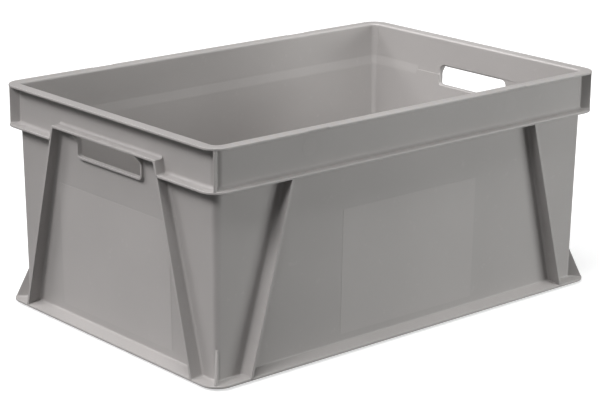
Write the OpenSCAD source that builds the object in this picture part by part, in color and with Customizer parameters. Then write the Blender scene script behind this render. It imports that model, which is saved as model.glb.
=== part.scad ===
// Rigid Euro-size stacking crate, moulded in one piece and drawn here feature by feature.
// X is the long way, Y the short way, Z is up, and the origin is under the middle of the base.
// "u" is always the distance in from the 600 x 400 outline, so u = 0 is flush with both flanges.

/* [Overall] */
// Length over the flanges
crate_l = 600; // [570:10:800]
// Width over the flanges
crate_w = 400; // [400:10:500]
// Height from the ground to the rim
crate_h = 270; // [240:5:300]
// Plan radius of the flange corners
outline_r = 22; // [18:1:26]

/* [Walls] */
// Wall thickness
wall_t = 3; // [2.5:0.1:3.5]
// Draft of the lower walls in degrees
draft = 1; // [0.5:0.1:1.2]
// Outer face of the rim wall, in from the outline
rim_u = 12.5; // [12:0.5:14]
// How much further in the lower walls start
step_u = 1; // [0.5:0.1:1.5]

/* [Rim] */
// Thickness of every flange
flange_t = 3; // [2.5:0.1:3.5]
// Height of the rim over both flanges
rim_h = 50.5; // [46:0.5:56]
// Thickness of the upright corner webs
web_t = 2.6; // [2:0.1:3.5]
// Distance of the flange notches from the middle
notch_x = 155; // [120:5:180]
// Length of the flange notches
notch_l = 30; // [20:1:40]
// Depth of the flange notches
notch_d = 1.5; // [1:0.1:2]

/* [Ribs] */
// Thickness of the leaning ribs
rib_t = 3.5; // [2.5:0.1:4]
// Lean of the ribs in degrees
rib_lean = 15; // [12:0.5:16]
// Top of the ribs on the long sides, from the middle
long_rib_x = 190; // [170:5:195]
// Top of the ribs on the short ends, from the middle
end_rib_y = 97; // [95:1:98]

/* [Hand holes] */
// Width of the hand hole
hole_w = 118; // [100:1:120]
// Height of the hand hole
hole_h = 26; // [22:1:28]
// How far the shelf over the hole steps up
shelf_rise = 15.5; // [12:0.5:18]
// Thickness of the collar
collar_t = 3; // [2.5:0.1:3.5]
// Outer face of the collar, in from the outline
collar_u = 9.5; // [8:0.5:11]

/* [Base] */
// Height of the stacking plinth
plinth_h = 3; // [2:0.5:5]
// Rise of the cove from the flange edge to the wall
cove_h = 3; // [2:0.5:5]
// Height of the foot gussets
gusset_h = 35; // [25:1:45]
// Thickness of the foot gussets
gusset_t = 2.8; // [2:0.1:3.5]

/* [Hidden] */
$fn = 96;

plastic = [0.60, 0.59, 0.58];

// The four sides, numbered by quarter turns from the front
front = 0;
right = 1;
back = 2;
left = 3;

// Levels above the ground
flange_z = plinth_h;
floor_z = flange_z + flange_t;
lip_z = crate_h - rim_h;
channel_z = lip_z + flange_t;
top_z = crate_h - flange_t;
shelf_z = lip_z + shelf_rise;

// Distances in from the outline
rim_in = rim_u + wall_t;
lower_u = rim_u + step_u;
base_u = lower_u + (lip_z - floor_z) * tan(draft);
base_in = base_u + wall_t;
flange_in = base_in + 1.8;
plinth_u = 18.5;
plinth_t = 4;

// All the round wall corners share one upright axis, this far in both ways
axis_u = flange_in + 1.2;
// Where the shelf, the raised wall and the interrupted lower flange meet
shelf_half = end_rib_y + 3;
// Half the hand hole and the collar round it
hole_half = hole_w / 2;
hole_top = shelf_z - 1;
hole_bottom = hole_top - hole_h;
hole_r = 6;
flare_h = 12;
flare_u = 1.5;
// Where the diagonal through a corner axis crosses the flange edge
diagonal_reach = (axis_u - outline_r) * sqrt(2) + outline_r;
// Lattice under the floor
lattice_h = 2;
lattice_t = 2.4;
lattice_margin = 34;
lattice_gap = 50;
// Depth of the mitred plan area, more than any flange is wide
mitre_depth = 60;
// How far cutting shapes run past what they cut
past = 20;

// Outer face of the lower wall at height z, in from the outline
function wall_u(z) = lower_u + (lip_z - z) * tan(draft);

function half_width(k) = (k % 2 == 0 ? crate_w : crate_l) / 2;

function half_length(k) = (k % 2 == 0 ? crate_l : crate_w) / 2;

// Draws children in side k's own frame: x along the side, y inwards from the outline
module on_side(k) {
    rotate(90 * k)
        translate([0, -half_width(k), 0])
            children();
}

// Draws children at the corner axis, turned so that +x+y points out of the corner
module on_corner(sx, sy) {
    translate([sx * (crate_l / 2 - axis_u), sy * (crate_w / 2 - axis_u), 0])
        rotate(sx > 0 ? (sy > 0 ? 0 : 270) : (sy > 0 ? 90 : 180))
            children();
}

// Extrudes a profile of [u, z] points along a side, centred on its middle
module along_side(length, points) {
    rotate([90, 0, 90])
        linear_extrude(height = length, center = true)
            polygon(points);
}

// Rounded rectangle, u in from the outline, with corner radius r
module plan(u, r) {
    l = crate_l - 2 * u;
    w = crate_w - 2 * u;
    square([l - 2 * r, w], center = true);
    square([l, w - 2 * r], center = true);
    for (sx = [-1, 1], sy = [-1, 1])
        translate([sx * (l / 2 - r), sy * (w / 2 - r)])
            circle(r);
}

// Plan area that belongs to side k, mitred at 45 degrees at both corners
module sector(k) {
    l = half_length(k);
    rotate(90 * k)
        translate([0, -half_width(k)])
            polygon([
                [-l, 0], [l, 0], [l - mitre_depth, mitre_depth], [mitre_depth - l, mitre_depth]
            ]);
}

// Flat ring between two insets, cut to side k
module ring_part(k, u_in, r_in, r_out) {
    intersection() {
        difference() {
            plan(0, r_out);
            plan(u_in, r_in);
        }
        sector(k);
    }
}

// Plan area beyond the hand-hole zone of side k, towards dir
module past_shelf(k, dir) {
    rotate(90 * k)
        translate([0, -half_width(k)])
            polygon([
                [dir * shelf_half, -past], [dir * crate_w, -past],
                [dir * crate_w, mitre_depth], [dir * shelf_half, mitre_depth]
            ]);
}

// ---- Base ----

module floor_panel() {
    color(plastic)
        translate([0, 0, flange_z])
            linear_extrude(flange_t)
                plan(flange_in, axis_u - flange_in);
}

// Four bars under the base that drop inside the rim of the crate below
module stacking_plinth() {
    color(plastic)
        for (k = [front, right, back, left])
            on_side(k)
                translate([axis_u - half_length(k), plinth_u, 0])
                    cube([2 * (half_length(k) - axis_u), plinth_t, plinth_h]);
}

// Low lattice that stiffens the floor, clear of the ground
module underside_ribs() {
    l = crate_l / 2 - lattice_margin;
    w = crate_w / 2 - lattice_margin;
    nx = floor(l / lattice_gap);
    ny = floor(w / lattice_gap);
    color(plastic)
        translate([0, 0, flange_z - lattice_h])
            linear_extrude(lattice_h) {
                for (i = [-nx:nx])
                    translate([i * lattice_gap, 0])
                        square([lattice_t, 2 * w], center = true);
                for (j = [-ny:ny])
                    translate([0, j * lattice_gap])
                        square([2 * l, lattice_t], center = true);
            }
}

module base_flange(k) {
    color(plastic)
        translate([0, 0, flange_z])
            linear_extrude(flange_t)
                ring_part(k, flange_in, axis_u - flange_in, outline_r);
}

// Sloping fillet from the flange edge up to the wall, between the two ribs of side k
module base_cove(k) {
    color(plastic)
        difference() {
            on_side(k)
                along_side(2 * foot_x(k), [
                    [0.5, floor_z], [base_u, floor_z],
                    [wall_u(floor_z + cove_h), floor_z + cove_h]
                ]);
            for (dir = [-1, 1])
                rib_blade(k, dir);
        }
}

// ---- Lower walls ----

module lower_wall(k) {
    color(plastic)
        on_side(k)
            along_side(2 * (half_length(k) - axis_u), [
                [base_u, floor_z], [lower_u, lip_z], [lower_u + wall_t, lip_z], [base_in, floor_z]
            ]);
}

// End wall: the lower wall, its raised part behind the shelf, and the hand hole
module end_wall(k) {
    color(plastic)
        difference() {
            union() {
                lower_wall(k);
                on_side(k)
                    translate([-shelf_half, rim_u, lip_z])
                        cube([2 * shelf_half, wall_t, shelf_rise]);
            }
            on_side(k)
                translate([0, past, 0])
                    rotate([90, 0, 0])
                        linear_extrude(2 * past)
                            hand_hole();
        }
}

module hand_hole() {
    for (s = [-1, 1], z = [hole_bottom + hole_r, hole_top - hole_r])
        translate([s * (hole_half - hole_r), z])
            circle(hole_r);
    translate([-hole_half, hole_bottom + hole_r])
        square([hole_w, hole_h - 2 * hole_r]);
    translate([hole_r - hole_half, hole_bottom])
        square([hole_w - 2 * hole_r, hole_h]);
}

// Quarter bend of the drafted lower wall about the upright corner axis
module corner_post(sx, sy) {
    color(plastic)
        on_corner(sx, sy)
            rotate_extrude(angle = 90)
                polygon([
                    [axis_u - base_in, floor_z], [axis_u - base_u, floor_z],
                    [axis_u - lower_u, lip_z], [axis_u - lower_u - wall_t, lip_z]
                ]);
}

// ---- Rim channel ----

module lower_flange(k) {
    color(plastic)
        translate([0, 0, lip_z])
            linear_extrude(flange_t)
                ring_part(k, lower_u + wall_t, axis_u - lower_u - wall_t, outline_r);
}

// The lower flange of a short end stops at the rib beside the raised shelf
module end_lower_flange(k, dir) {
    color(plastic)
        difference() {
            translate([0, 0, lip_z])
                linear_extrude(flange_t)
                    intersection() {
                        ring_part(k, lower_u + wall_t, axis_u - lower_u - wall_t, outline_r);
                        past_shelf(k, dir);
                    }
            rib_blade(k, dir);
        }
}

module handle_shelf(k) {
    color(plastic)
        on_side(k)
            translate([-shelf_half, 0, shelf_z])
                cube([2 * shelf_half, rim_in, flange_t]);
}

// Lip and two cheeks round the hand hole; the cheeks sweep out to the shelf
module handle_collar(k) {
    lip_under = hole_bottom - collar_t;
    cheek = concat(
        [[wall_u(lip_under), lip_under], [collar_u, lip_under]],
        [for (t = [0:0.2:1])
            [collar_u - (collar_u - flare_u) * pow(t, 1.3), shelf_z - flare_h * (1 - t)]],
        [[rim_u, shelf_z], [rim_u, lip_z], [lower_u, lip_z]]
    );
    color(plastic)
        on_side(k) {
            along_side(hole_w + 2 * collar_t, [
                [wall_u(lip_under), lip_under], [collar_u, lip_under],
                [collar_u, hole_bottom], [wall_u(hole_bottom), hole_bottom]
            ]);
            for (s = [-1, 1])
                translate([s * (hole_half + collar_t / 2), 0, 0])
                    along_side(collar_t, cheek);
        }
}

module rim_wall(k) {
    color(plastic)
        on_side(k)
            translate([axis_u - half_length(k), rim_u, channel_z])
                cube([2 * (half_length(k) - axis_u), wall_t, top_z - channel_z]);
}

// Rim wall of a short end, cut away for the raised shelf
module end_rim_wall(k) {
    color(plastic)
        difference() {
            rim_wall(k);
            on_side(k)
                translate([-shelf_half, 0, channel_z - past])
                    cube([2 * shelf_half, past, shelf_z + flange_t - channel_z + past]);
        }
}

module rim_corner(sx, sy) {
    color(plastic)
        on_corner(sx, sy)
            translate([0, 0, channel_z])
                rotate_extrude(angle = 90)
                    translate([axis_u - rim_in, 0])
                        square([wall_t, top_z - channel_z]);
}

// Upright web on the corner diagonal, between the two flanges
module rim_web(sx, sy) {
    color(plastic)
        on_corner(sx, sy)
            difference() {
                rotate(45)
                    translate([0, -web_t / 2, channel_z])
                        cube([diagonal_reach - 0.6, web_t, top_z - channel_z]);
                translate([0, 0, channel_z - past])
                    cylinder(r = axis_u - rim_u, h = rim_h + 2 * past);
            }
}

module top_flange(k) {
    color(plastic)
        difference() {
            translate([0, 0, top_z])
                linear_extrude(flange_t)
                    ring_part(k, rim_in, axis_u - rim_in, outline_r);
            if (k % 2 == 0)
                on_side(k)
                    for (s = [-1, 1])
                        translate([s * notch_x - notch_l / 2, -past, top_z - past])
                            cube([notch_l, past + notch_d, 2 * past]);
        }
}

// ---- Ribs and gussets ----

// Level and place of the top of side k's ribs
function rib_top(k) = k % 2 == 0 ? lip_z : shelf_z;

function rib_top_x(k) = k % 2 == 0 ? long_rib_x : end_rib_y;

// Middle of the rib's foot, from the middle of side k
function foot_x(k) = rib_top_x(k) + (rib_top(k) - floor_z) * tan(rib_lean);

// Blade that leans outwards to the foot, between the wall face and the outline
module rib_blade(k, dir) {
    half_t = rib_t / 2 / cos(rib_lean);
    rise = rib_top(k) > lip_z ? [[rim_u, lip_z], [rim_u, rib_top(k)]] : [];
    on_side(k)
        intersection() {
            translate([0, past, 0])
                rotate([90, 0, 0])
                    linear_extrude(2 * past)
                        polygon([
                            [dir * (rib_top_x(k) - half_t), rib_top(k)],
                            [dir * (rib_top_x(k) + half_t), rib_top(k)],
                            [dir * (foot_x(k) + half_t), floor_z],
                            [dir * (foot_x(k) - half_t), floor_z]
                        ]);
            along_side(2 * half_length(k), concat(
                [[0, floor_z], [base_u, floor_z], [lower_u, lip_z]],
                rise, [[0, rib_top(k)]]
            ));
        }
}

module rib(k, dir) {
    color(plastic)
        rib_blade(k, dir);
}

// Triangular web on the corner diagonal, from the flange edge up to the post
module foot_gusset(sx, sy) {
    top = floor_z + gusset_h;
    color(plastic)
        on_corner(sx, sy)
            difference() {
                rotate(45)
                    translate([0, gusset_t / 2, 0])
                        rotate([90, 0, 0])
                            linear_extrude(gusset_t)
                                polygon([
                                    [0, floor_z], [diagonal_reach - 1.2, floor_z],
                                    [diagonal_reach - 1.2, floor_z + 1],
                                    [axis_u - wall_u(top), top], [0, top]
                                ]);
                rotate_extrude()
                    polygon([
                        [0, floor_z - 1], [axis_u - wall_u(floor_z - 1), floor_z - 1],
                        [axis_u - wall_u(top + 1), top + 1], [0, top + 1]
                    ]);
            }
}

floor_panel();
stacking_plinth();
underside_ribs();
base_flange(front);  // base_flange_front
base_flange(right);  // base_flange_right
base_flange(back);  // base_flange_back
base_flange(left);  // base_flange_left
base_cove(front);  // base_cove_front
base_cove(right);  // base_cove_right
base_cove(back);  // base_cove_back
base_cove(left);  // base_cove_left
lower_wall(front);  // front_wall
lower_wall(back);  // back_wall
end_wall(left);  // left_end_wall
end_wall(right);  // right_end_wall
corner_post(-1, -1);  // corner_post_front_left
corner_post(1, -1);  // corner_post_front_right
corner_post(1, 1);  // corner_post_back_right
corner_post(-1, 1);  // corner_post_back_left
lower_flange(front);  // lower_flange_front
lower_flange(back);  // lower_flange_back
end_lower_flange(left, 1);  // lower_flange_left_front
end_lower_flange(left, -1);  // lower_flange_left_back
end_lower_flange(right, -1);  // lower_flange_right_front
end_lower_flange(right, 1);  // lower_flange_right_back
handle_shelf(left);  // handle_shelf_left
handle_shelf(right);  // handle_shelf_right
handle_collar(left);  // handle_collar_left
handle_collar(right);  // handle_collar_right
rim_wall(front);  // rim_wall_front
end_rim_wall(right);  // rim_wall_right
rim_wall(back);  // rim_wall_back
end_rim_wall(left);  // rim_wall_left
rim_corner(-1, -1);  // rim_corner_front_left
rim_corner(1, -1);  // rim_corner_front_right
rim_corner(1, 1);  // rim_corner_back_right
rim_corner(-1, 1);  // rim_corner_back_left
rim_web(-1, -1);  // rim_web_front_left
rim_web(1, -1);  // rim_web_front_right
rim_web(1, 1);  // rim_web_back_right
rim_web(-1, 1);  // rim_web_back_left
top_flange(front);  // top_flange_front
top_flange(right);  // top_flange_right
top_flange(back);  // top_flange_back
top_flange(left);  // top_flange_left
rib(front, -1);  // rib_front_left
rib(front, 1);  // rib_front_right
rib(back, 1);  // rib_back_left
rib(back, -1);  // rib_back_right
rib(left, 1);  // rib_left_front
rib(left, -1);  // rib_left_back
rib(right, -1);  // rib_right_front
rib(right, 1);  // rib_right_back
foot_gusset(-1, -1);  // foot_gusset_front_left
foot_gusset(1, -1);  // foot_gusset_front_right
foot_gusset(1, 1);  // foot_gusset_back_right
foot_gusset(-1, 1);  // foot_gusset_back_left
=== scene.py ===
import math

import bpy
from mathutils import Matrix, Vector


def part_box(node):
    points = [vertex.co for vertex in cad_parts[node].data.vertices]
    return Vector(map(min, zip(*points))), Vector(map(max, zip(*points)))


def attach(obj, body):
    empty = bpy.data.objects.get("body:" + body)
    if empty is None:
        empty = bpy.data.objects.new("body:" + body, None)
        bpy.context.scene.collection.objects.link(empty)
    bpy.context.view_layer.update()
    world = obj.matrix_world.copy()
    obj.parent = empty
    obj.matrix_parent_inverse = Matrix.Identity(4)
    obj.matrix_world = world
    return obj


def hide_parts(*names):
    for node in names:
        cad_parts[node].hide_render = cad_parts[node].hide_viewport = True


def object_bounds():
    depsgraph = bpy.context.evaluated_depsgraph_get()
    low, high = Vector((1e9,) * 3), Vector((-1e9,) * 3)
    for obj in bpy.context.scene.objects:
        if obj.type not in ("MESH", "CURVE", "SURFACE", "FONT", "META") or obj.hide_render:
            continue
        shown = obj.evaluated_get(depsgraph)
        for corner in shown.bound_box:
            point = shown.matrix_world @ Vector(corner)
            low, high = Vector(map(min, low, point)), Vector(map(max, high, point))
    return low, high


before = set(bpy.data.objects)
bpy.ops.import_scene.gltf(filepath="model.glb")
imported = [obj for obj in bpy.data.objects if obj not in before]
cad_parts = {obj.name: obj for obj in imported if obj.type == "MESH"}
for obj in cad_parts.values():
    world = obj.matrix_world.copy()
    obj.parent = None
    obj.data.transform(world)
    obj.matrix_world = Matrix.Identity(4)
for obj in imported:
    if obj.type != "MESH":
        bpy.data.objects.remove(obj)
cad_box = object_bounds()

# The crate is one moulding, drawn as one piece for each feature that the frame names.
# Shapes are worked out in millimetres and scaled when a mesh is made. "u" is the distance
# in from the outline that both flanges share, and z is the height above the ground.

MM = 1000.0
FRONT, RIGHT, BACK, LEFT = range(4)
SIDES = {FRONT: "front", RIGHT: "right", BACK: "back", LEFT: "left"}
CORNERS = {(-1, -1): "front_left", (1, -1): "front_right", (1, 1): "back_right", (-1, 1): "back_left"}


# ---- Sizes taken from the frame ----


def box_mm(node):
    low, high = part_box(node)
    return low * MM, high * MM


HALF_L, HALF_W, RIM_Z = (value * MM for value in cad_box[1])
FLANGE_Z, FLOOR_Z = (corner.z for corner in box_mm("floor_panel"))
LIP_Z, CHANNEL_Z = (corner.z for corner in box_mm("lower_flange_front"))
TOP_Z = box_mm("top_flange_front")[0].z
SHELF_Z, SHELF_TOP = (corner.z for corner in box_mm("handle_shelf_left"))
RIM_U, RIM_IN = (HALF_W + corner.y for corner in box_mm("rim_wall_front"))
WALL_T = RIM_IN - RIM_U
LOWER_U = HALF_W + box_mm("front_wall")[0].y
BASE_U = HALF_W + box_mm("front_wall")[1].y - WALL_T
DRAFT = (BASE_U - LOWER_U) / (LIP_Z - FLOOR_Z)
AXIS_U = HALF_L - box_mm("front_wall")[1].x
COLLAR_LOW, COLLAR_HIGH = box_mm("handle_collar_left")
COVE_Z = box_mm("base_cove_front")[1].z
GUSSET_TOP = box_mm("foot_gusset_front_left")[1].z
PLINTH_LOW = box_mm("stacking_plinth")[0]

# Corner radius of the flanges, and thickness of what stands off the walls
OUTLINE_R = 22.0
RIB_T = 3.5
WEB_T = 2.6
GUSSET_T = 2.8
GUSSET_ROOT_R = 2.0
GUSSET_HEAD = 0.5
GUSSET_FOOT_H = 1.0
WEB_SETBACK = 0.25
GUSSET_SETBACK = 1.2
COLLAR_T = 3.0
PLINTH_T = 4.0
RIB_LEAN = math.radians(15)
LEAN = math.tan(RIB_LEAN)
RIB_HALF = RIB_T / 2 / math.cos(RIB_LEAN)

# Ribs: the box of one blade gives the middle of its top and of its foot
LONG_RIB_TOP = -box_mm("rib_front_left")[1].x + RIB_HALF
END_RIB_TOP = -box_mm("rib_left_front")[1].y + RIB_HALF

# Front edge of the shelf over the hand hole, in from the outline
SHELF_U = 0.4

# Hand hole and the collar round it
HOLE_HALF = COLLAR_HIGH.y - COLLAR_T
HOLE_BOTTOM = COLLAR_LOW.z + COLLAR_T
HOLE_TOP = SHELF_Z - 1.0
HOLE_TOP_R = 7.0
HOLE_BOTTOM_R = 3.0
CHEEK_TOP_R = 1.0
COLLAR_U = 9.5
FLARE_U = HALF_L + COLLAR_LOW.x
FLARE_H = 12.0
FLARE_POWER = 1.3
LINING_T = 1.5
COLLAR_FILLET = 2.5
COLLAR_THINNING = 1.6
COLLAR_STEP = 1.5
COLLAR_SMOOTH = math.radians(40)

# Levels at which the wall, the rim and the flanges with their fillets meet
FOOT_JOIN = FLOOR_Z + 9.0
LIP_JOIN = LIP_Z - 5.0
CHANNEL_JOIN = CHANNEL_Z + 7.0
TOP_JOIN = TOP_Z - 4.5
STEP_Z = CHANNEL_Z - 1.0
STEP_SPREAD = 5.5
STEP_R = 9.0

# Rounding of edges and fillets
EDGE_R = 0.85
CHANNEL_FILLET = 4.5
LIP_FILLET = 1.5
FOOT_FILLET = 2.0
FLOOR_FILLET = 6.0
FLOOR_INSET = BASE_U + WALL_T + FLOOR_FILLET + 0.5
RIM_INNER_R = 2.8
ROOT_FILLET = 3.2
RIB_GROWTH = 2.2
WEB_FILLET = 2.2
WEB_GROWTH = 1.8
EDGE_GROWTH = 0.2
END_ROUND = 0.5
RIB_EDGE_R = 0.7
BLADE_EDGE_R = 0.9
PLINTH_EDGE_R = 0.8
LIP_TUCK_R = 1.0
ARC_STEP = math.radians(11.25)
CORNER_STEPS = 10

# How deep pieces are let into what they stand on
BLADE_SINK = 0.7
PATCH_SINK = 0.5
RIB_SINK = {"long": 1.4, "end": 0.5}
WEB_SINK = 1.2
GUSSET_SINK = 1.0
SHELF_SINK = 1.0
SHELF_COVER = 0.02
COVE_SINK = 0.5
COVE_BACK = 1.0
PLINTH_SINK = 1.0

# Notches in the long top flanges, the round gate marks in the channel, and the label fields
NOTCH_X = 155.0
NOTCH_HALF = 15.0
NOTCH_D = 1.5
NOTCH_RAMP = 0.3
MARK_X = 157.0
MARK_Z = 248.0
MARK_R = 10.0
MARK_PROUD = 0.12
MARK_STEPS = 32
FIELD_HALF = 104.5
FIELD_H = 148.0
FIELD_BOTTOM = FOOT_JOIN + 3.5
FIELD_PROUD = 0.18
FIELD_R = 1.5


def wall_u(z):
    """Outer face of the lower walls at height z, in from the outline."""
    return LOWER_U + (LIP_Z - z) * DRAFT


def half_length(side):
    return HALF_L if side % 2 == 0 else HALF_W


def half_width(side):
    return HALF_W if side % 2 == 0 else HALF_L


def rib_top(side):
    """Where the middle of side's ribs is at the top: distance from the side's middle, and height."""
    return (LONG_RIB_TOP, LIP_Z) if side % 2 == 0 else (END_RIB_TOP, SHELF_Z)


def rib_x(side, z):
    top_x, top_z = rib_top(side)
    return top_x + (top_z - z) * LEAN


# ---- Outlines: closed, counter-clockwise lists of (start, start normal, end, end normal) ----


def line(p, q):
    d = (q - p).normalized()
    n = Vector((d.y, -d.x))
    return [(p, n, q, n)]


def arc(centre, r, a0, a1, steps=None):
    steps = steps or max(2, round(abs(a1 - a0) / ARC_STEP))
    sign = 1 if a1 > a0 else -1
    rays = [a0 + (a1 - a0) * i / steps for i in range(steps + 1)]
    rays = [Vector((math.cos(a), math.sin(a))) for a in rays]
    return [
        (centre + r * a, sign * a, centre + r * b, sign * b)
        for a, b in zip(rays, rays[1:])
    ]


def rounded(corners):
    """Outline through (x, y, radius) corners. A radius of 0 leaves the corner sharp."""
    points = [Vector((x, y)) for x, y, _ in corners]
    bends = []
    for i, (x, y, r) in enumerate(corners):
        p = points[i]
        back = (points[i - 1] - p).normalized()
        ahead = (points[(i + 1) % len(points)] - p).normalized()
        if r <= 0:
            bends.append((p, p, []))
            continue
        half = back.angle(ahead) / 2
        centre = p + (back + ahead).normalized() * r / math.sin(half)
        start = p + back * r / math.tan(half)
        end = p + ahead * r / math.tan(half)
        a0 = math.atan2(*(start - centre).yx)
        turn = (start - centre).angle_signed(end - centre)
        steps = max(2, round(abs(turn) / ARC_STEP))
        bends.append((start, end, arc(centre, r, a0, a0 - turn, steps)))
    edges = []
    for i, (_, end, _) in enumerate(bends):
        start, _, bend = bends[(i + 1) % len(bends)]
        if (start - end).length > 1e-6:
            edges += line(end, start)
        edges += bend
    return edges


# ---- Meshes ----


class Solid:
    """Vertices, faces and face-corner normals of one piece, in millimetres."""

    def __init__(self):
        self.points = []
        self.faces = []
        self.normals = []
        self.slots = []

    def add_points(self, points):
        first = len(self.points)
        self.points += [Vector(p) for p in points]
        return first

    def add_face(self, indices, normals=None, slot=0):
        if normals is None:
            flat = newell([self.points[i] for i in indices])
            normals = [flat] * len(indices)
        self.faces.append(indices)
        self.normals += normals
        self.slots.append(slot)

    def add_rings(self, rings, normals, closed=False):
        """Skins rings of points. normals[i][j] holds the two normals of edge j at ring i."""
        count = len(rings[0])
        starts = [self.add_points(ring) for ring in rings]
        pairs = list(zip(range(len(rings)), range(1, len(rings))))
        if closed:
            pairs.append((len(rings) - 1, 0))
        for i, k in pairs:
            for j in range(count):
                n = (j + 1) % count
                corners = [starts[i] + j, starts[i] + n, starts[k] + n, starts[k] + j]
                (n0, n1), (n3, n2) = normals[i][j], normals[k][j]
                self.add_face(corners, [n0, n1, n2, n3])
        if not closed:
            self.add_face([starts[0] + j for j in reversed(range(count))])
            self.add_face([starts[-1] + j for j in range(count)])


def newell(points):
    total = Vector((0, 0, 0))
    for p, q in zip(points, points[1:] + points[:1]):
        total += p.cross(q)
    return total.normalized()


def finish_piece(name, solid, node, materials, smooth_angle=None):
    """Makes the mesh object that stands for a CAD node and hangs it on the frame."""
    mesh = bpy.data.meshes.new(name)
    mesh.from_pydata([p / MM for p in solid.points], [], solid.faces)
    mesh.polygons.foreach_set("material_index", solid.slots)
    for material in materials:
        mesh.materials.append(material)
    mesh.shade_smooth()
    if smooth_angle is None:
        mesh.normals_split_custom_set([n.normalized() for n in solid.normals])
    else:
        mesh.set_sharp_from_angle(angle=smooth_angle)
    piece = bpy.data.objects.new(name, mesh)
    bpy.context.scene.collection.objects.link(piece)
    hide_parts(node)
    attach(piece, "root")
    return piece


# ---- Sweeping a (u, z) profile along the sides ----


def to_world(side, x, y, z=0.0):
    """Side frame (x along the side, y inwards from the outline) to the row frame."""
    y -= half_width(side)
    turned = {FRONT: (x, y), RIGHT: (-y, x), BACK: (-x, -y), LEFT: (y, -x)}[side]
    return Vector((turned[0], turned[1], z))


def direction(side, x, y, z):
    turned = {FRONT: (x, y), RIGHT: (-y, x), BACK: (-x, -y), LEFT: (y, -x)}[side]
    return Vector((turned[0], turned[1], z))


def corner_centre(u):
    """How far in the centre of the corner arc is for a line u in from the outline."""
    shared = OUTLINE_R + (AXIS_U - OUTLINE_R) * min(1.0, max(0.0, u / RIM_U))
    return max(shared, u + 1.8)


def bend_station(side, end, phi):
    """A place on the corner arc at one end of the side, phi round from the straight."""

    def place(u, z):
        c = corner_centre(u)
        x = end * (half_length(side) - c + (c - u) * math.sin(phi))
        return to_world(side, x, c - (c - u) * math.cos(phi), z)

    def turn(n):
        return direction(side, -end * math.sin(phi) * n.x, math.cos(phi) * n.x, n.y)

    return place, turn


def straight_station(side, x, lean=0.0, notch=0.0):
    """A place on the straight part. lean slants it with height; notch pushes the edge in."""

    def place(u, z):
        if u < RIM_U:
            u += notch * (1 - u / RIM_U)
        return to_world(side, x + lean * (LIP_Z - z), u, z)

    def turn(n):
        return direction(side, 0.0, n.x, n.y)

    return place, turn


def corner_run(side, end):
    """Stations round half a corner, from the mitre to the straight for end -1, or back."""
    phis = [math.pi / 4 * i / CORNER_STEPS for i in range(CORNER_STEPS + 1)]
    if end < 0:
        phis.reverse()
    return [bend_station(side, end, phi) for phi in phis]


def sweep(solid, stations, profile):
    rings = []
    normals = []
    for place, turn in stations:
        rings.append([place(p.x, p.y) for p, _, _, _ in profile])
        normals.append([(turn(n0), turn(n1)) for _, n0, _, n1 in profile])
    solid.add_rings(rings, normals)


def side_piece(name, profile, side, materials, middle=()):
    """A ring quarter: one side with half of each corner."""
    solid = Solid()
    sweep(solid, corner_run(side, -1) + list(middle) + corner_run(side, 1), profile)
    return finish_piece(name + "_moulded", solid, name, materials)


# ---- Profiles ----


def top_flange_profile():
    return rounded([
        (0, TOP_Z, EDGE_R), (RIM_U, TOP_Z, LIP_FILLET), (RIM_U, TOP_JOIN, 0),
        (RIM_IN, TOP_JOIN, 0), (RIM_IN, RIM_Z, RIM_INNER_R), (0, RIM_Z, EDGE_R),
    ])


def lower_flange_profile():
    low = wall_u(LIP_JOIN)
    return rounded([
        (0, LIP_Z, EDGE_R), (LOWER_U, LIP_Z, LIP_FILLET), (low, LIP_JOIN, 0),
        (low + WALL_T, LIP_JOIN, 0), (LOWER_U + WALL_T, STEP_Z - STEP_SPREAD, STEP_R),
        (RIM_IN, STEP_Z + STEP_SPREAD, STEP_R), (RIM_IN, CHANNEL_JOIN, 0),
        (RIM_U, CHANNEL_JOIN, 0), (RIM_U, CHANNEL_Z, CHANNEL_FILLET), (0, CHANNEL_Z, EDGE_R),
    ])


def base_flange_profile():
    join = wall_u(FOOT_JOIN)
    return rounded([
        (0, FLANGE_Z, EDGE_R), (FLOOR_INSET, FLANGE_Z, 0), (FLOOR_INSET, FLOOR_Z, 0),
        (BASE_U + WALL_T, FLOOR_Z, FLOOR_FILLET - 0.5), (join + WALL_T, FOOT_JOIN, 0),
        (join, FOOT_JOIN, 0), (BASE_U, FLOOR_Z, FOOT_FILLET), (0, FLOOR_Z, EDGE_R),
    ])


def cove_profile():
    """Slope from the flange's edge up to the wall, with a fillet that ends on the wall face."""
    edge_u = EDGE_R
    root_u = wall_u(COVE_Z)
    rise = math.atan2(COVE_Z - FLOOR_Z, root_u - edge_u)
    tangent = FOOT_FILLET * math.tan((math.pi / 2 - rise) / 2)
    head_z = COVE_Z + tangent
    back_u = root_u + COVE_BACK
    return rounded([
        (edge_u, FLOOR_Z, 0), (edge_u, FLOOR_Z - COVE_SINK, 0), (back_u, FLOOR_Z - COVE_SINK, 0),
        (back_u, head_z, 0), (wall_u(head_z), head_z, 0), (root_u, COVE_Z, FOOT_FILLET),
    ])


def wall_profile(low, high, outer):
    return rounded([
        (outer(low), low, 0), (outer(low) + WALL_T, low, 0),
        (outer(high) + WALL_T, high, 0), (outer(high), high, 0),
    ])


def rim_wall_profile():
    return wall_profile(CHANNEL_JOIN, TOP_JOIN, lambda z: RIM_U)


def shelf_profile(shrink=0.0):
    """The shelf over the hand hole, let into the wall. shrink rounds its ends over."""
    front = SHELF_U + shrink
    top = SHELF_TOP - shrink
    sunk = RIM_U + SHELF_SINK
    head = SHELF_TOP + CHANNEL_FILLET + 0.05
    return rounded([
        (front, SHELF_Z, EDGE_R), (sunk, SHELF_Z, 0), (sunk, head, 0),
        (RIM_U, head, 0), (RIM_U, top, CHANNEL_FILLET + shrink), (front, top, EDGE_R),
    ])


# ---- Blades: ribs, corner webs and foot gussets ----


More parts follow.
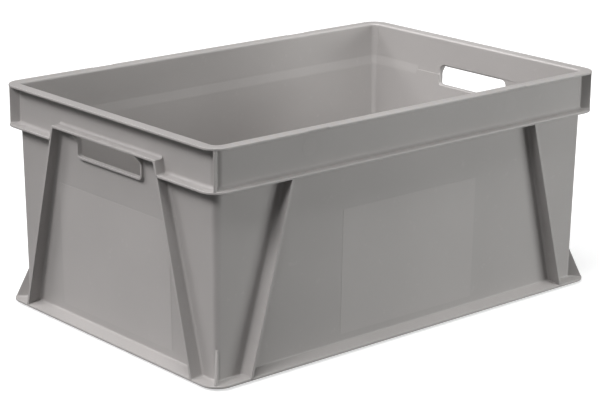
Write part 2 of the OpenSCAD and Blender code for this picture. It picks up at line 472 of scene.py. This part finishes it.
def blade_flank(half, growth, reach, edge_r, root_r, drum):
    """Right flank of a blade, from the wall out to its edge. The wall is the line out = 0,
    or a drum of that radius about the origin, and the root fillet ends on it."""
    across = half + growth + root_r
    if drum is None:
        foot = Vector((across, root_r))
        toe = Vector((across, 0))
        ray = -math.pi / 2
    else:
        foot = Vector((across, math.sqrt((drum + root_r) ** 2 - across ** 2)))
        toe = foot * drum / (drum + root_r)
        ray = math.atan2(-foot.y, -foot.x)
    edge = half + EDGE_GROWTH * growth
    knee = Vector((half + growth, foot.y))
    shoulder = Vector((edge, reach - edge_r))
    rounding = arc(Vector((edge - edge_r, reach - edge_r)), edge_r, 0, math.pi / 2, 3)
    return toe, arc(foot, root_r, ray, -math.pi, 5) + line(knee, shoulder) + rounding


def blade_outline(half, growths, reach, edge_r, root_r, drum=None):
    """Section of a blade that stands off a wall, in (across, out)."""
    flip = Vector((-1, 1))
    right_toe, right = blade_flank(half, growths[0], reach, edge_r, root_r, drum)
    left_toe, left = blade_flank(half, growths[1], reach, edge_r, root_r, drum)
    mirrored = [(q * flip, n1 * flip, p * flip, n0 * flip) for p, n0, q, n1 in reversed(left)]
    left_toe = left_toe * flip
    depth = Vector((0, -BLADE_SINK))
    return (
        right
        + line(right[-1][2], mirrored[0][0])
        + mirrored
        + line(left_toe, left_toe + depth)
        + line(left_toe + depth, right_toe + depth)
        + line(right_toe + depth, right_toe)
    )


def stack(solid, rings):
    """Skins (z, place, outline) rings. The normals tilt as the surface moves from ring to ring."""
    points = [[place(p) for p, _, _, _ in outline] for _, place, outline in rings]
    for ring, (z, _, _) in zip(points, rings):
        for p in ring:
            p.z = z
    normals = []
    last = len(rings) - 1
    for i, (_, place, outline) in enumerate(rings):
        low, high = points[max(0, i - 1)], points[min(last, i + 1)]
        origin = place(Vector((0, 0)))
        row = []
        for j, (p, n0, q, n1) in enumerate(outline):
            pair = []
            for n, k in ((n0, j), (n1, (j + 1) % len(outline))):
                flat = place(n) - origin
                flat.z = 0
                drift = (high[k] - low[k]) / (high[k].z - low[k].z)
                pair.append((flat - Vector((0, 0, flat.dot(drift)))).normalized())
            row.append(pair)
        normals.append(row)
    solid.add_rings(points, normals)


def growth(z, plates, radius):
    """How much fillets of this radius thicken a blade at height z, near level plates."""
    near = min(max(low - z, z - high, 0.0) for low, high in plates)
    share = max(0.0, 1 - near / radius)
    return radius * (1 - math.sqrt(1 - share ** 2))


def blade_levels(low, high, plates, radius, sink):
    """Heights at which to slice a blade that runs from low to high between plates."""
    drops = [radius * (1 - math.sin(math.pi / 2 * i / 5)) for i in range(6)]
    levels = {low - sink, high + sink}
    for plate_low, plate_high in plates:
        levels |= {plate_low - drop for drop in drops} | {plate_high + drop for drop in drops}
    return sorted(z for z in levels if low - sink <= z <= high + sink)


def side_frame(side, x, u):
    """Maps (across, out) at a point of the side's wall face to the row frame."""

    def place(p):
        return to_world(side, x - p.x, u - p.y)

    return place


def corner_frame(sx, sy):
    """Maps (across, out) about a corner's upright axis to the row frame."""
    axis = Vector((sx * (HALF_L - AXIS_U), sy * (HALF_W - AXIS_U), 0))
    out = Vector((sx, sy, 0)).normalized()
    across = Vector((out.y, -out.x, 0))

    def place(p):
        return axis + across * p.x + out * p.y

    return place


def rib(name, side, end, materials):
    """A leaning blade. On a short end it passes the lower flange and ends under the shelf."""
    top_z = rib_top(side)[1]
    base = (-FLANGE_Z, FLOOR_Z)
    flange = (LIP_Z, CHANNEL_Z)
    head = (top_z, top_z + FLANGE_Z)
    inner = [base, head]
    outer = [base, flange]
    sink = RIB_SINK["long" if side % 2 == 0 else "end"]
    solid = Solid()
    rings = []
    for z in blade_levels(FLOOR_Z, top_z, [base, flange, head], RIB_GROWTH, sink):
        growths = (growth(z, outer, RIB_GROWTH), growth(z, inner, RIB_GROWTH))
        if end > 0:
            growths = growths[::-1]
        outline = blade_outline(RIB_HALF, growths, wall_u(z), RIB_EDGE_R, ROOT_FILLET)
        rings.append((z, side_frame(side, end * rib_x(side, z), wall_u(z)), outline))
    stack(solid, rings)
    return finish_piece(name + "_moulded", solid, name, materials)


def diagonal_reach():
    """Distance from the corner axis to the flange's rounded edge, along the diagonal."""
    return (AXIS_U - OUTLINE_R) * math.sqrt(2) + OUTLINE_R


def rim_web(name, sx, sy, materials):
    solid = Solid()
    drum = AXIS_U - RIM_U
    plates = [(LIP_Z, CHANNEL_Z), (TOP_Z, RIM_Z)]
    rings = []
    for z in blade_levels(CHANNEL_Z, TOP_Z, plates, WEB_GROWTH, WEB_SINK):
        swell = growth(z, plates, WEB_GROWTH)
        outline = blade_outline(
            WEB_T / 2, (swell, swell), diagonal_reach() - WEB_SETBACK, BLADE_EDGE_R, WEB_FILLET, drum
        )
        rings.append((z, corner_frame(sx, sy), outline))
    stack(solid, rings)
    return finish_piece(name + "_moulded", solid, name, materials)


def foot_gusset(name, sx, sy, materials):
    solid = Solid()
    foot_reach = diagonal_reach() - GUSSET_SETBACK
    slope_z = FLOOR_Z + GUSSET_FOOT_H
    top_reach = AXIS_U - wall_u(GUSSET_TOP) + GUSSET_HEAD
    plates = [(FLANGE_Z, FLOOR_Z)]
    tail = FLOOR_Z + WEB_GROWTH
    levels = blade_levels(FLOOR_Z, tail, plates, WEB_GROWTH, GUSSET_SINK)
    levels = [z for z in levels if z < tail - 0.01]
    levels += [tail + (GUSSET_TOP - tail) * i / 8 for i in range(9)]
    rings = []
    for z in levels:
        drum = AXIS_U - wall_u(z)
        share = max(0.0, (z - slope_z) / (GUSSET_TOP - slope_z))
        reach = foot_reach + (top_reach - foot_reach) * share
        room = reach - drum
        swell = growth(z, plates, WEB_GROWTH)
        edge_r = min(BLADE_EDGE_R, room / 2)
        root_r = min(GUSSET_ROOT_R, room / 2)
        outline = blade_outline(GUSSET_T / 2, (swell, swell), reach, edge_r, root_r, drum)
        rings.append((z, corner_frame(sx, sy), outline))
    stack(solid, rings)
    return finish_piece(name + "_moulded", solid, name, materials)


# ---- Plates with an outline of their own ----


def prism(solid, outline, outer, inner, side, slot=0):
    """Plate between the faces u = outer(z) and u = inner(z), cut to an (x, z) outline."""
    count = len(outline)
    front_row = solid.add_points([to_world(side, p.x, outer(p.y), p.y) for p in outline])
    back_row = solid.add_points([to_world(side, p.x, inner(p.y), p.y) for p in outline])
    solid.add_face([front_row + j for j in range(count)], slot=slot)
    solid.add_face([back_row + j for j in reversed(range(count))], slot=slot)
    for j in range(count):
        n = (j + 1) % count
        solid.add_face([front_row + n, front_row + j, back_row + j, back_row + n], slot=slot)


def corner_points(corners):
    return [p for p, _, _, _ in rounded(corners)]


def label_field(solid, side, slot):
    """Matt patch for a paper label, a hair proud of the wall."""
    low, high = FIELD_BOTTOM, FIELD_BOTTOM + FIELD_H
    outline = corner_points([
        (-FIELD_HALF, low, FIELD_R), (FIELD_HALF, low, FIELD_R),
        (FIELD_HALF, high, FIELD_R), (-FIELD_HALF, high, FIELD_R),
    ])
    prism(
        solid, outline, lambda z: wall_u(z) - FIELD_PROUD, lambda z: wall_u(z) + PATCH_SINK, side, slot
    )


def gate_marks(solid, side, slot):
    """Round, barely raised marks in the rim channel."""
    turns = [2 * math.pi * i / MARK_STEPS for i in range(MARK_STEPS)]
    for end in (-1, 1):
        outline = [
            Vector((end * MARK_X + MARK_R * math.cos(a), MARK_Z + MARK_R * math.sin(a)))
            for a in turns
        ]
        prism(solid, outline, lambda z: RIM_U - MARK_PROUD, lambda z: RIM_U + PATCH_SINK, side, slot)


def straight_ends(side):
    reach = half_length(side) - AXIS_U
    return [straight_station(side, -reach), straight_station(side, reach)]


def long_wall(name, side, materials):
    solid = Solid()
    sweep(solid, straight_ends(side), wall_profile(FOOT_JOIN, LIP_JOIN, wall_u))
    label_field(solid, side, 1)
    return finish_piece(name + "_moulded", solid, name, materials)


def hole_outline(grow, top_r=HOLE_TOP_R):
    """Edges of the hand hole, grown outwards, in (x, z), counter-clockwise."""
    w = HOLE_HALF + grow
    low, high = HOLE_BOTTOM - grow, HOLE_TOP + grow
    return rounded([
        (-w, low, HOLE_BOTTOM_R + grow), (w, low, HOLE_BOTTOM_R + grow),
        (w, high, top_r + grow), (-w, high, top_r + grow),
    ])


def end_wall(name, side, materials):
    """Lower end wall up to the shelf, in two plates that meet at the inside step."""
    solid = Solid()
    reach = half_length(side) - AXIS_U
    split = STEP_Z
    hole = [p for p, _, _, _ in hole_outline(LINING_T)]
    hole_x = HOLE_HALF + LINING_T
    lower_hole = [p for p in hole if p.y < split]
    upper_hole = [p for p in hole if p.y >= split]
    lower_hole.sort(key=lambda p: -math.atan2(p.x, split - p.y))
    upper_hole.sort(key=lambda p: math.atan2(p.x, p.y - split))
    lip_x = rib_x(side, LIP_JOIN)
    step_x = rib_x(side, split)
    shelf_x = rib_x(side, SHELF_Z)
    low = [
        Vector((-reach, FOOT_JOIN)), Vector((reach, FOOT_JOIN)), Vector((reach, LIP_JOIN)),
        Vector((lip_x, LIP_JOIN)), Vector((step_x, split)), Vector((hole_x, split)),
        *lower_hole,
        Vector((-hole_x, split)), Vector((-step_x, split)), Vector((-lip_x, LIP_JOIN)),
        Vector((-reach, LIP_JOIN)),
    ]
    high = [
        Vector((-step_x, split)), Vector((-hole_x, split)), *upper_hole,
        Vector((hole_x, split)), Vector((step_x, split)), Vector((shelf_x, SHELF_Z)),
        Vector((-shelf_x, SHELF_Z)),
    ]
    prism(solid, low, wall_u, lambda z: wall_u(z) + WALL_T, side)
    prism(solid, high, wall_u, lambda z: RIM_IN, side)
    label_field(solid, side, 1)
    return finish_piece(name + "_moulded", solid, name, materials)


def rim_wall(name, side, materials):
    solid = Solid()
    if side % 2 == 0:
        sweep(solid, straight_ends(side), rim_wall_profile())
        gate_marks(solid, side, 1)
    else:
        reach = half_length(side) - AXIS_U
        edge_x = rib_x(side, CHANNEL_JOIN)
        head_x = rib_x(side, SHELF_Z)
        outline = [
            Vector((-reach, CHANNEL_JOIN)), Vector((-edge_x, CHANNEL_JOIN)),
            Vector((-head_x, SHELF_Z)), Vector((head_x, SHELF_Z)),
            Vector((edge_x, CHANNEL_JOIN)), Vector((reach, CHANNEL_JOIN)),
            Vector((reach, TOP_JOIN)), Vector((-reach, TOP_JOIN)),
        ]
        prism(solid, outline, lambda z: RIM_U, lambda z: RIM_IN, side)
    return finish_piece(name + "_moulded", solid, name, materials)


def end_lower_flange(name, side, end, materials):
    """The lower flange of a short end, from the rib beside the shelf to the corner."""
    solid = Solid()
    foot = end * rib_x(side, LIP_Z)
    start = straight_station(side, foot, lean=end * LEAN)
    run = corner_run(side, end)
    stations = [start] + run if end > 0 else run + [start]
    sweep(solid, stations, lower_flange_profile())
    return finish_piece(name + "_moulded", solid, name, materials)


def handle_shelf(name, side, materials):
    """The shelf, with its ends flush with the outer faces of the ribs and rounded over."""
    foot = rib_x(side, LIP_Z) + RIB_HALF + SHELF_COVER
    rings = []
    normals = []
    for end in (-1, 1):
        turns = [math.pi / 2 * i / 4 for i in range(5)]
        for a in turns if end > 0 else reversed(turns):
            x = end * (foot - END_ROUND * (1 - math.sin(a)))
            profile = shelf_profile(END_ROUND * (1 - math.cos(a)))
            place, turn = straight_station(side, x, lean=end * LEAN)
            outward = direction(side, end * math.cos(RIB_LEAN), 0, math.sin(RIB_LEAN))
            rings.append([place(p.x, p.y) for p, _, _, _ in profile])
            normals.append([
                tuple(turn(n) * math.cos(a) + outward * math.sin(a) for n in (n0, n1))
                for _, n0, _, n1 in profile
            ])
    solid = Solid()
    solid.add_rings(rings, normals)
    return finish_piece(name + "_moulded", solid, name, materials)


def flare(z):
    """Front face of the collar: it sweeps outwards up to the shelf."""
    rise = min(1.0, max(0.0, 1 - (SHELF_Z - z) / FLARE_H))
    return COLLAR_U - (COLLAR_U - FLARE_U) * rise ** FLARE_POWER


def paired_path(front, back, step):
    """Points along two outlines of the same make-up, finely spaced, with the way out."""
    points = []
    for (p, n0, q, n1), (r, _, s, _) in zip(front, back):
        parts = max(1, round((q - p).length / step))
        for i in range(parts):
            share = i / parts
            points.append((p.lerp(q, share), r.lerp(s, share), n0.lerp(n1, share).normalized()))
    return points


def inner_u(z):
    return RIM_IN if z > STEP_Z + 0.4 else wall_u(z) + WALL_T


def handle_collar(name, side, materials):
    """The lining of the hand hole with its lip and cheeks, swept once round the hole."""
    solid = Solid()
    rings = []
    for p, lining, away in paired_path(hole_outline(0, CHEEK_TOP_R), hole_outline(0), COLLAR_STEP):
        thick = COLLAR_T - COLLAR_THINNING * max(0.0, away.y)
        foot = thick + COLLAR_FILLET
        front, back, wall = flare(p.y), inner_u(lining.y), wall_u(p.y)
        section = corner_points([
            (0, front, EDGE_R), (0, back, LIP_TUCK_R), (LINING_T, back, 0),
            (LINING_T, wall + PATCH_SINK, 0), (foot, wall + PATCH_SINK, 0), (foot, wall, 0),
            (thick, wall, COLLAR_FILLET - 0.001), (thick, front, min(EDGE_R, thick * 0.45)),
        ])
        rings.append([])
        for q in section:
            within = q.x < LINING_T + 0.1
            depth = min(1.0, max(0.0, (q.y - front) / (wall - front))) if within else 0.0
            at = p.lerp(lining, depth)
            rings[-1].append(to_world(side, at.x + away.x * q.x, q.y, at.y + away.y * q.x))
    normals = [[(Vector((0, 0, 1)), Vector((0, 0, 1)))] * len(rings[0])] * len(rings)
    solid.add_rings(rings, normals, closed=True)
    return finish_piece(name + "_moulded", solid, name, materials, COLLAR_SMOOTH)


# ---- Base ----


def floor_panel(name, materials):
    solid = Solid()
    ring = []
    for side in SIDES:
        for place, _ in corner_run(side, -1) + corner_run(side, 1):
            point = place(FLOOR_INSET, 0)
            if not ring or (point - ring[-1]).length > 1e-4:
                ring.append(point)
    if (ring[0] - ring[-1]).length < 1e-4:
        ring.pop()
    rings = [[Vector((p.x, p.y, z)) for p in ring] for z in (FLANGE_Z, FLOOR_Z)]
    count = len(ring)
    edges = [ring[(j + 1) % count] - ring[j] for j in range(count)]
    flats = [Vector((e.y, -e.x, 0)).normalized() for e in edges]
    solid.add_rings(rings, [[(n, n) for n in flats]] * 2)
    return finish_piece(name + "_moulded", solid, name, materials)


def stacking_plinth(name, materials):
    solid = Solid()
    low = HALF_W + PLINTH_LOW.y
    high = low + PLINTH_T
    top = FLANGE_Z + PLINTH_SINK
    profile = rounded([
        (low, 0, PLINTH_EDGE_R), (high, 0, PLINTH_EDGE_R), (high, top, 0), (low, top, 0)
    ])
    for side in SIDES:
        sweep(solid, straight_ends(side), profile)
    return finish_piece(name + "_moulded", solid, name, materials)


def base_cove(name, side, materials):
    solid = Solid()
    stations = [
        straight_station(side, -rib_x(side, LIP_Z), lean=-LEAN),
        straight_station(side, rib_x(side, LIP_Z), lean=LEAN),
    ]
    sweep(solid, stations, cove_profile())
    return finish_piece(name + "_moulded", solid, name, materials)


def upright_bend(name, sx, sy, profile, materials):
    """A quarter bend of a wall round a corner axis."""
    side = {(-1, -1): FRONT, (1, -1): RIGHT, (1, 1): BACK, (-1, 1): LEFT}[(sx, sy)]
    solid = Solid()
    steps = 2 * CORNER_STEPS
    stations = [
        bend_station(side, -1, math.pi / 2 * (1 - i / steps)) for i in range(steps + 1)
    ]
    sweep(solid, stations, profile)
    return finish_piece(name + "_moulded", solid, name, materials)


def notch_stations(side):
    stations = []
    for middle in (-NOTCH_X, NOTCH_X):
        for x, depth in (
            (-NOTCH_HALF - NOTCH_RAMP, 0), (-NOTCH_HALF, NOTCH_D),
            (NOTCH_HALF, NOTCH_D), (NOTCH_HALF + NOTCH_RAMP, 0),
        ):
            stations.append(straight_station(side, middle + x, notch=depth))
    return stations


def build_crate(plastic, field, mark):
    walls = [plastic, field]
    only = [plastic]
    floor_panel("floor_panel", only)
    stacking_plinth("stacking_plinth", only)
    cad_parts["underside_ribs"].data.materials.clear()
    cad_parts["underside_ribs"].data.materials.append(plastic)
    for side, word in SIDES.items():
        side_piece("base_flange_" + word, base_flange_profile(), side, only)
        base_cove("base_cove_" + word, side, only)
        rim_wall("rim_wall_" + word, side, [plastic, mark])
        notches = notch_stations(side) if side % 2 == 0 else ()
        side_piece("top_flange_" + word, top_flange_profile(), side, only, notches)
    for side in (FRONT, BACK):
        long_wall(SIDES[side] + "_wall", side, walls)
        side_piece("lower_flange_" + SIDES[side], lower_flange_profile(), side, only)
    for side in (LEFT, RIGHT):
        word = SIDES[side]
        end_wall(word + "_end_wall", side, walls)
        handle_shelf("handle_shelf_" + word, side, only)
        handle_collar("handle_collar_" + word, side, only)
    for side, word in SIDES.items():
        for end in (-1, 1):
            far = direction(side, end, 0, 0)
            if side % 2 == 0:
                name = "rib_" + word + ("_right" if far.x > 0 else "_left")
            else:
                name = "rib_" + word + ("_back" if far.y > 0 else "_front")
                end_lower_flange(name.replace("rib", "lower_flange"), side, end, only)
            rib(name, side, end, only)
    for (sx, sy), word in CORNERS.items():
        upright_bend("corner_post_" + word, sx, sy, wall_profile(FOOT_JOIN, LIP_JOIN, wall_u), only)
        upright_bend("rim_corner_" + word, sx, sy, rim_wall_profile(), only)
        rim_web("rim_web_" + word, sx, sy, only)
        foot_gusset("foot_gusset_" + word, sx, sy, only)


# ---- Materials ----

# The grey is slightly warm
RED_TINT = 1.04
BLUE_TINT = 0.978
# Noise scales of the clouding and the scuffs, how much the tone varies, and depth of the grain
CLOUD_SCALE = 7.0
SCUFF_SCALE = 90.0
MOTTLE = 0.012
GRAIN_DEPTH = 0.0002


class Nodes:
    """Small helper that adds and links shader nodes."""

    def __init__(self, material):
        material.use_nodes = True
        self.tree = material.node_tree
        self.tree.nodes.clear()

    def add(self, kind, inputs=None, **settings):
        node = self.tree.nodes.new(kind)
        for key, value in settings.items():
            setattr(node, key, value)
        for key, value in (inputs or {}).items():
            if isinstance(value, bpy.types.NodeSocket):
                self.tree.links.new(value, node.inputs[key])
            else:
                node.inputs[key].default_value = value
        return node

    def noise(self, where, scale, detail=2.0, roughness=0.5):
        node = self.add(
            "ShaderNodeTexNoise",
            {"Vector": where, "Scale": scale, "Detail": detail, "Roughness": roughness},
        )
        return node.outputs["Fac"]

    def remap(self, value, low, high, to_low, to_high):
        node = self.add(
            "ShaderNodeMapRange",
            {"Value": value, "From Min": low, "From Max": high, "To Min": to_low, "To Max": to_high},
        )
        return node.outputs["Result"]

    def maths(self, operation, a, b):
        node = self.add("ShaderNodeMath", {0: a, 1: b}, operation=operation)
        return node.outputs["Value"]


def moulded_plastic(name, tone, roughness, grain, grain_scale):
    """Satin moulded polypropylene: fine eroded grain, faint flow clouding and scuffed edges."""
    material = bpy.data.materials.new(name)
    nodes = Nodes(material)
    where = nodes.add("ShaderNodeTexCoord").outputs["Object"]
    clouds = nodes.noise(where, CLOUD_SCALE, 3.0)
    fine = nodes.noise(where, grain_scale, 2.0, 0.6)
    pebble = nodes.noise(where, grain_scale * 0.3, 2.0)
    scuffs = nodes.noise(where, SCUFF_SCALE, 4.0, 0.7)
    shade = nodes.maths(
        "ADD",
        nodes.remap(clouds, 0.3, 0.7, -MOTTLE, MOTTLE),
        nodes.remap(fine, 0.2, 0.8, -MOTTLE, MOTTLE),
    )
    worn = nodes.remap(scuffs, 0.62, 0.75, 0.0, 0.03)
    value = nodes.maths("ADD", nodes.maths("ADD", shade, worn), tone)
    colour = nodes.add(
        "ShaderNodeCombineColor",
        {
            "Red": nodes.maths("MULTIPLY", value, RED_TINT),
            "Green": value,
            "Blue": nodes.maths("MULTIPLY", value, BLUE_TINT),
        },
    )
    rough = nodes.maths(
        "ADD",
        nodes.remap(clouds, 0.3, 0.7, roughness - 0.03, roughness + 0.03),
        nodes.remap(scuffs, 0.55, 0.8, 0.0, 0.08),
    )
    height = nodes.maths("ADD", fine, nodes.maths("MULTIPLY", pebble, 0.6))
    bump = nodes.add(
        "ShaderNodeBump", {"Strength": grain, "Distance": GRAIN_DEPTH, "Height": height}
    )
    shader = nodes.add(
        "ShaderNodeBsdfPrincipled",
        {
            "Base Color": colour.outputs["Color"],
            "Roughness": rough,
            "Normal": bump.outputs["Normal"],
        },
    )
    shader.inputs["IOR"].default_value = 1.49
    shader.inputs["Specular IOR Level"].default_value = 0.5
    nodes.add("ShaderNodeOutputMaterial", {"Surface": shader.outputs["BSDF"]})
    return material


def floor_material():
    material = bpy.data.materials.new("pale_floor")
    nodes = Nodes(material)
    shader = nodes.add(
        "ShaderNodeBsdfPrincipled", {"Base Color": (0.5, 0.5, 0.5, 1), "Roughness": 0.9}
    )
    shader.inputs["Specular IOR Level"].default_value = 0.1
    shader.inputs["Emission Color"].default_value = (1, 1, 1, 1)
    shader.inputs["Emission Strength"].default_value = FLOOR_GLOW
    nodes.add("ShaderNodeOutputMaterial", {"Surface": shader.outputs["BSDF"]})
    return material


# ---- Stage ----


def pale_floor():
    half = 12.0
    mesh = bpy.data.meshes.new("studio_floor")
    corners = [(-half, -half, 0), (half, -half, 0), (half, half, 0), (-half, half, 0)]
    mesh.from_pydata(corners, [], [(0, 1, 2, 3)])
    mesh.materials.append(floor_material())
    floor = bpy.data.objects.new("studio_floor", mesh)
    stage_only(floor)


def stage_only(thing):
    """The stage is seen by the camera and takes shadows, but sheds no light on the crate."""
    bpy.context.scene.collection.objects.link(thing)
    thing.visible_diffuse = False
    thing.visible_glossy = False


def backdrop():
    """A plain white wall all round, far away."""
    radius, height, sides = 11.5, 9.0, 48
    mesh = bpy.data.meshes.new("studio_backdrop")
    turns = [2 * math.pi * i / sides for i in range(sides)]
    points = [(radius * math.cos(a), radius * math.sin(a), z) for z in (0, height) for a in turns]
    faces = [(i, (i + 1) % sides, sides + (i + 1) % sides, sides + i) for i in range(sides)]
    mesh.from_pydata(points, [], faces)
    material = bpy.data.materials.new("white_backdrop")
    nodes = Nodes(material)
    glow = nodes.add("ShaderNodeEmission")
    glow.inputs["Strength"].default_value = BACKDROP
    nodes.add("ShaderNodeOutputMaterial", {"Surface": glow.outputs["Emission"]})
    mesh.materials.append(material)
    wall = bpy.data.objects.new("studio_backdrop", mesh)
    wall.visible_shadow = False
    stage_only(wall)


def aim(lamp, away):
    """Turns a light so that it shines against the vector away, and puts it in the scene."""
    lamp.rotation_mode = "QUATERNION"
    lamp.rotation_quaternion = away.to_track_quat("Z", "Y")
    bpy.context.scene.collection.objects.link(lamp)


def softbox(name, azimuth, elevation, spread, strength, tint):
    """A far, soft light. azimuth and elevation say where it stands, seen from the crate."""
    light = bpy.data.lights.new(name, "SUN")
    light.energy = strength
    light.angle = math.radians(spread)
    light.color = tint
    lamp = bpy.data.objects.new(name, light)
    a, e = math.radians(azimuth), math.radians(elevation)
    away = Vector((math.sin(a) * math.cos(e), -math.cos(a) * math.cos(e), math.sin(e)))
    lamp.location = away * 5
    aim(lamp, away)


# Tints of the lights
WHITE = (1, 1, 1)
WARM = (1.015, 1, 1.005)
COOL = (0.985, 1, 0.995)
# Name, azimuth and elevation of where it stands, angular size, strength, tint
LIGHTS = [
    ("key_left", -85, 45, 20, 1.44, WARM),
    ("key_low", -100, 40, 20, 0.62, WARM),
    ("rear_left", -140, 40, 20, 1.2, WARM),
    ("high", -40, 75, 20, 1.45, WHITE),
]
# Name, place, width and depth, power, tint
PANELS = [
    ("overhead", (0.0, 0.0, 0.9), (0.4, 0.4), 1.5, WHITE),
    ("fill_right", (1.5, -1.9, 0.3), (1.2, 1.2), 46, COOL),
    ("mouth", (-0.03, 0.0, 0.262), (0.3, 0.26), 0.07, WHITE),
]
# Name, place, target, spread, power
BEAM = ("far_corner", (0.1, -1.2, 1.35), (0.25, 0.18, 0.19), 12, 58)
CRATE_MIDDLE = (0, 0, 0.135)
# Brightness of the room above and below the horizon, of the backdrop and of the floor
SKY = (0.08, 0.18)
BACKDROP = 0.93
FLOOR_GLOW = 0.64


def panel(name, place, size, power, tint):
    """A soft light hung at a place, facing the middle of the crate and hidden from the camera."""
    light = bpy.data.lights.new(name, "AREA")
    light.shape = "RECTANGLE"
    light.energy = power
    light.size, light.size_y = size
    light.color = tint
    lamp = bpy.data.objects.new(name, light)
    lamp.location = place
    lamp.visible_camera = False
    lamp.visible_glossy = False
    aim(lamp, Vector(place) - Vector(CRATE_MIDDLE))


def snoot(name, place, target, spread, power):
    """A narrow soft-edged beam from a place onto a target."""
    light = bpy.data.lights.new(name, "SPOT")
    light.energy = power
    light.spot_size = math.radians(spread)
    light.spot_blend = 1.0
    light.shadow_soft_size = 0.08
    lamp = bpy.data.objects.new(name, light)
    lamp.location = place
    aim(lamp, Vector(place) - Vector(target))


def studio():
    for row in LIGHTS:
        softbox(*row)
    for row in PANELS:
        panel(*row)
    snoot(*BEAM)
    world = bpy.data.worlds.new("studio")
    nodes = Nodes(world)
    where = nodes.add("ShaderNodeTexCoord").outputs["Generated"]
    height = nodes.add("ShaderNodeSeparateXYZ", {"Vector": where}).outputs["Z"]
    strength = nodes.remap(height, -0.1, 0.1, SKY[1], SKY[0])
    sky = nodes.add("ShaderNodeBackground", {"Strength": strength})
    sky.inputs["Color"].default_value = (1, 1, 1, 1)
    nodes.add("ShaderNodeOutputWorld", {"Surface": sky.outputs["Background"]})
    scene = bpy.context.scene
    scene.world = world
    scene.view_settings.view_transform = "Standard"
    scene.view_settings.look = "None"


# Azimuth, elevation and roll in degrees, lens and sensor in millimetres, place in metres
CAMERA_ANGLES = (-40.956, 16.596, 0.497)
CAMERA_LENS = 119.9
CAMERA_SENSOR = 36.0
CAMERA_PLACE = (-1.5345, -1.7594, 0.8027)


def photo_camera():
    """Looks down on the near corner, with a long lens."""
    azimuth, elevation, roll = (math.radians(v) for v in CAMERA_ANGLES)
    ahead = Vector((
        -math.sin(azimuth) * math.cos(elevation),
        math.cos(azimuth) * math.cos(elevation),
        -math.sin(elevation),
    ))
    level = Vector((math.cos(azimuth), math.sin(azimuth), 0))
    upward = level.cross(ahead)
    right = level * math.cos(roll) + upward * math.sin(roll)
    up = upward * math.cos(roll) - level * math.sin(roll)
    data = bpy.data.cameras.new("photo_camera")
    data.sensor_width = CAMERA_SENSOR
    data.lens = CAMERA_LENS
    data.clip_end = 50.0
    camera = bpy.data.objects.new("photo_camera", data)
    camera.matrix_world = Matrix.Translation(CAMERA_PLACE) @ Matrix((
        (right.x, up.x, -ahead.x, 0),
        (right.y, up.y, -ahead.y, 0),
        (right.z, up.z, -ahead.z, 0),
        (0, 0, 0, 1),
    ))
    bpy.context.scene.collection.objects.link(camera)
    bpy.context.scene.camera = camera


photo_camera()
pale_floor()
backdrop()
studio()
build_crate(
    moulded_plastic("satin_polypropylene", tone=0.36, roughness=0.34, grain=0.25, grain_scale=2600.0),
    moulded_plastic("label_field_matt", tone=0.387, roughness=0.5, grain=0.45, grain_scale=1900.0),
    moulded_plastic("gate_mark", tone=0.37, roughness=0.45, grain=0.35, grain_scale=1900.0),
)
